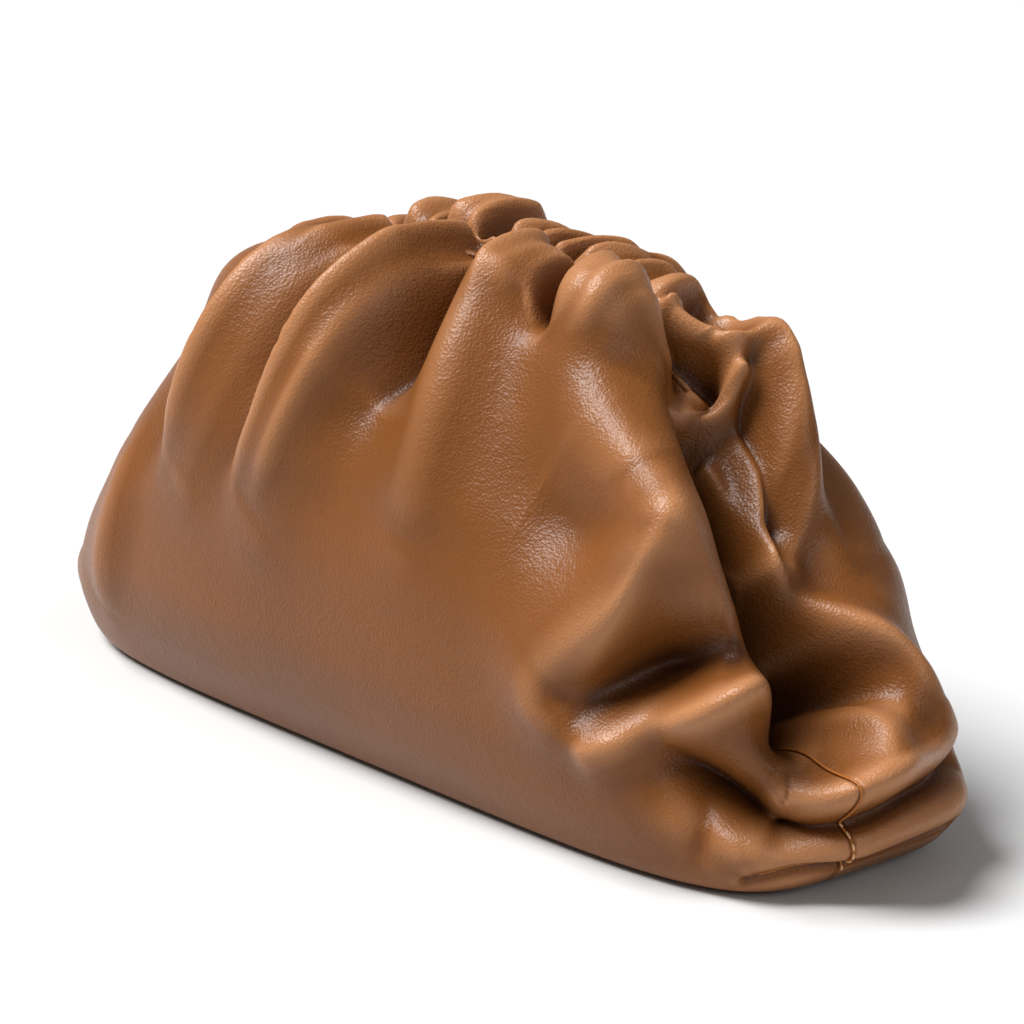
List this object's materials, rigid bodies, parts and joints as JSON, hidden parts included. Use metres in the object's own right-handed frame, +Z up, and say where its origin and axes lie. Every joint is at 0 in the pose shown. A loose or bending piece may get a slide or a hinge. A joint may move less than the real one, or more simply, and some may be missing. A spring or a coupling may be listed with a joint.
{
  "type": "soft gathered clutch bag",
  "caption": "Soft leather clutch bag: a boxed base and two gathered panels drawn up onto a slim covered frame round a narrow mouth.",
  "frame": {"origin": "middle of the flat base, on the surface that the bag stands on", "axes": "+X along the bag's length to the end nearest the viewer in the picture, -Y out of the front panel, +Z up"},
  "size_m": [0.3898, 0.1418, 0.1683],
  "materials": {
    "caramel_leather": "smooth caramel brown calf leather with a fine grain and a soft satin sheen",
    "frame_cover": "the same caramel leather, stretched smooth over a slim bar"
  },
  "bodies": {
    "root": {"front_panel": "caramel_leather", "back_panel": "caramel_leather", "front_frame_bar": "frame_cover", "back_frame_bar": "frame_cover"}
  },
  "joints": []
}
